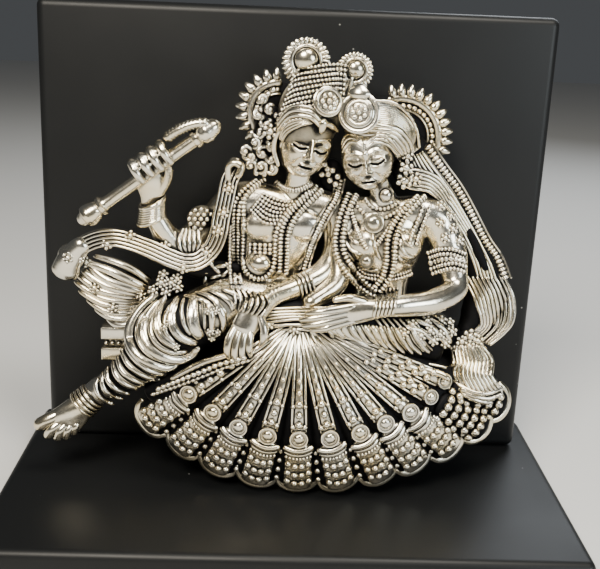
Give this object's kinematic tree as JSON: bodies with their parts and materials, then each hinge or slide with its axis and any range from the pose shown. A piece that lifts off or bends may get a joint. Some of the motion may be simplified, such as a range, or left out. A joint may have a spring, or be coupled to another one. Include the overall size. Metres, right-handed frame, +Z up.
{
  "type": "devotional couple statuette on a stand",
  "caption": "Seated couple in antiqued silver, one playing a flute, a pleated skirt spread like a shell before them, on a black stand with a back panel.",
  "frame": {"origin": "centre of the base board's underside", "axes": "+X along the board's width, to the right as seen from the front, +Z up, and the figures face -Y"},
  "size_m": [0.272, 0.15, 0.2373],
  "materials": {
    "silver": "antiqued silver plate, polished on the raised parts and black in the recesses",
    "black_lacquer": "satin black lacquer on board"
  },
  "bodies": {
    "root": {"silver_casting": "silver", "back_panel": "black_lacquer", "base_board": "black_lacquer"}
  },
  "joints": []
}
